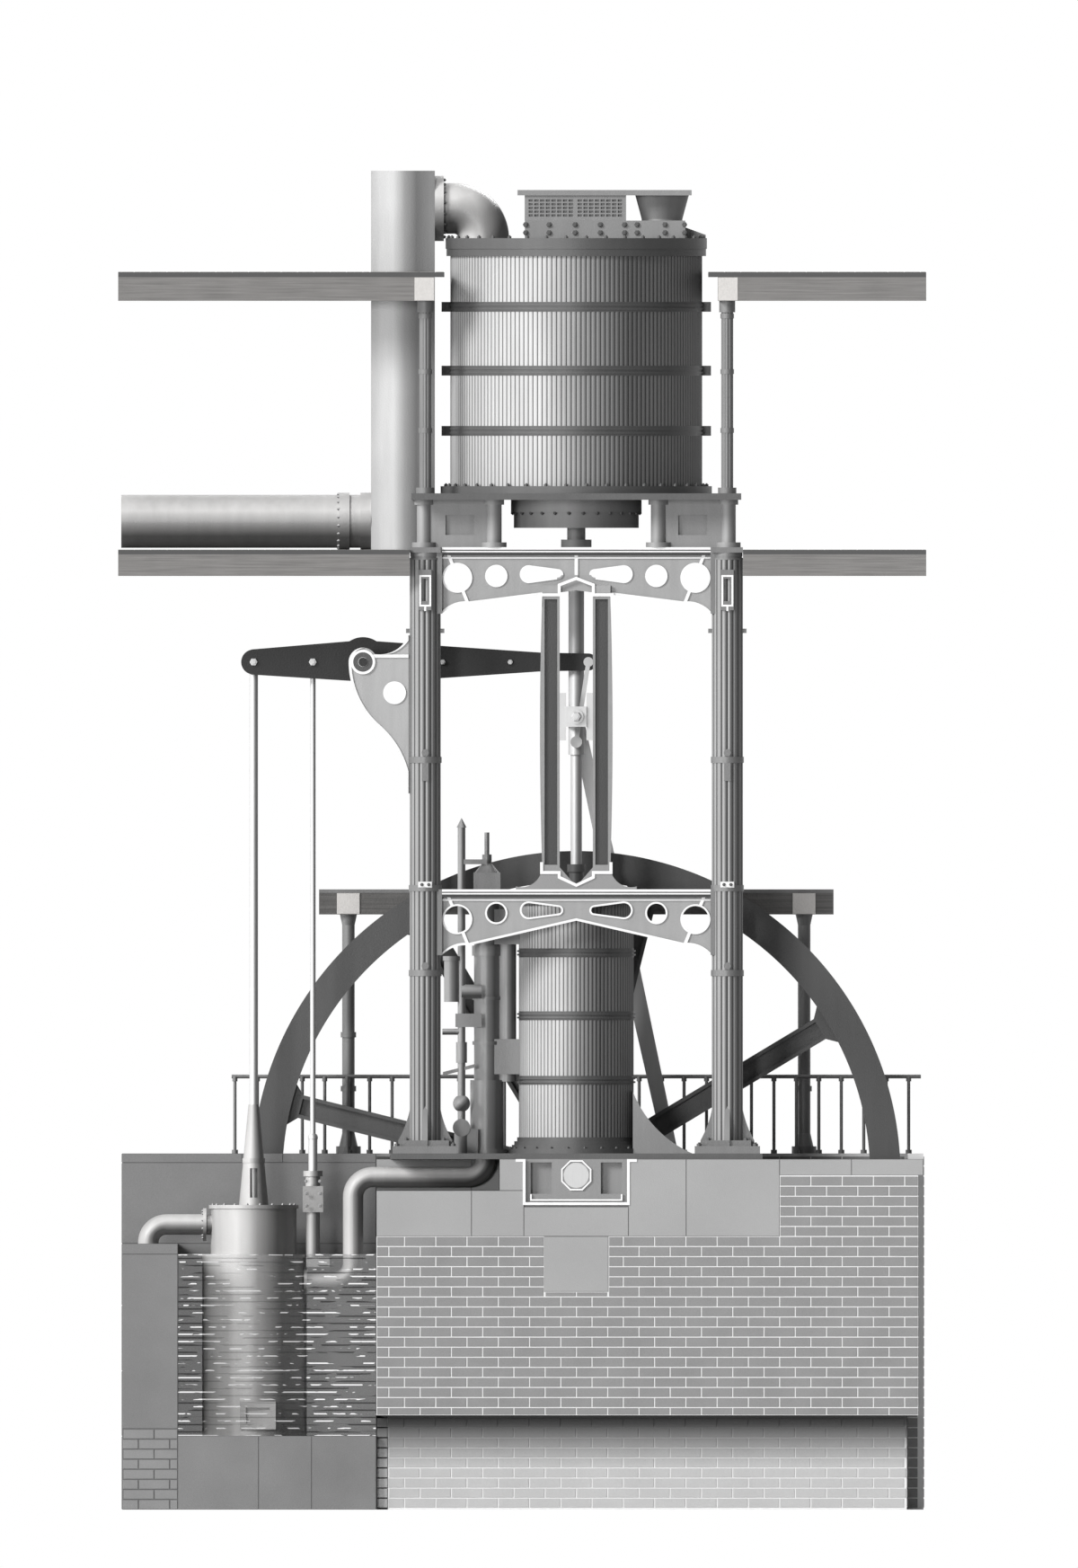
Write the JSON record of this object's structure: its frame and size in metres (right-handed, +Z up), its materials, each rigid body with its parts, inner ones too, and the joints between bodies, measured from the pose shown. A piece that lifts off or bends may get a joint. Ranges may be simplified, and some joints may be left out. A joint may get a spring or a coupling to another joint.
{
  "type": "vertical blowing engine",
  "caption": "Vertical blowing engine: air cylinder over steam cylinder on a four-column frame, with a flywheel, a crank below the floor and a rocking beam for the pumps.",
  "frame": {"origin": "on the ground under the common axis of the two cylinders, in the underside of the foundation", "axes": "+X right along the front, +Y away from the viewer, +Z up"},
  "size_m": [9.895, 5.79, 16.39],
  "materials": {
    "brickwork": "matte",
    "ashlar": "matte",
    "black_iron": "satin",
    "column_iron": "satin",
    "girder_iron": "satin",
    "lagging": "satin",
    "duct_iron": "satin",
    "bright_steel": "polished",
    "timber": "matte"
  },
  "bodies": {
    "engine": {"air_trunk": "duct_iron", "ashlar_bed": "ashlar", "beam_bracket_back": "black_iron", "beam_bracket_front": "black_iron", "bed_plate": "black_iron", "blast_main": "duct_iron", "blowing_bed": "girder_iron", "blowing_cover": "girder_iron", "blowing_cylinder": "lagging", "column_left_back": "column_iron", "column_left_front": "column_iron", "column_right_back": "column_iron", "column_right_front": "column_iron", "condenser": "duct_iron", "delivery_elbow": "duct_iron", "exhaust_pipe": "duct_iron", "feed_pump": "duct_iron", "foundation": "brickwork", "guide_back": "column_iron", "guide_front": "column_iron", "low_gallery": "black_iron", "lower_girder_back": "girder_iron", "lower_girder_front": "girder_iron", "lower_valve_chest": "girder_iron", "main_bearing_back": "black_iron", "main_bearing_front": "black_iron", "mid_floor_left": "timber", "mid_floor_right": "timber", "overflow_pipe": "duct_iron", "pit_wall": "ashlar", "pump_pit": "ashlar", "railing": "black_iron", "steam_cover": "girder_iron", "steam_cylinder": "lagging", "steam_guard": "black_iron", "suction_valves": "girder_iron", "upper_column_left_back": "column_iron", "upper_column_left_front": "column_iron", "upper_column_right_back": "column_iron", "upper_column_right_front": "column_iron", "upper_floor_left": "timber", "upper_floor_right": "timber", "upper_girder_back": "girder_iron", "upper_girder_front": "girder_iron", "valve_chest": "duct_iron", "valve_gear": "duct_iron", "valve_pedestal_left": "girder_iron", "valve_pedestal_right": "girder_iron", "wheel_pit_wall": "brickwork"},
    "wheel": {"flywheel": "black_iron", "crankshaft": "black_iron"},
    "crosshead": {"crosshead": "bright_steel", "beam_links": "bright_steel", "blowing_piston": "bright_steel", "steam_piston": "bright_steel"},
    "connecting_rod": {"connecting_rod": "bright_steel"},
    "beam": {"beam": "black_iron"},
    "air_pump_rod": {"air_pump_rod": "bright_steel"},
    "feed_plunger": {"feed_plunger": "bright_steel"}
  },
  "joints": [
    {"name": "flywheel_spin", "type": "hinge", "parent": "engine", "child": "wheel", "pos_m": [0, 0, 4.092], "axis": [0, 1, 0], "continuous": true},
    {"name": "crosshead_slide", "type": "slide", "parent": "engine", "child": "crosshead", "axis": [0, 0, 1], "range_m": [-1.22, 1.22]},
    {"name": "connecting_rod_swing", "type": "hinge", "parent": "crosshead", "child": "connecting_rod", "pos_m": [0, 2.45, 9.707], "axis": [0, 1, 0], "range_deg": [0, 24.52]},
    {"name": "beam_rock", "type": "hinge", "parent": "engine", "child": "beam", "pos_m": [-2.612, 0, 10.376], "axis": [0, -1, 0], "range_deg": [-25.5, 25.5]},
    {"name": "air_pump_slide", "type": "slide", "parent": "engine", "child": "air_pump_rod", "axis": [0, 0, 1], "range_m": [-0.6, 0.6]},
    {"name": "feed_pump_slide", "type": "slide", "parent": "engine", "child": "feed_plunger", "axis": [0, 0, 1], "range_m": [-0.275, 0.275]}
  ],
  "couplings": [
    {"joint": "beam_rock", "follows": "crosshead_slide", "rad_per_m": 0.36225},
    {"joint": "air_pump_slide", "follows": "crosshead_slide", "ratio": -0.48469},
    {"joint": "feed_pump_slide", "follows": "crosshead_slide", "ratio": -0.22206}
  ]
}
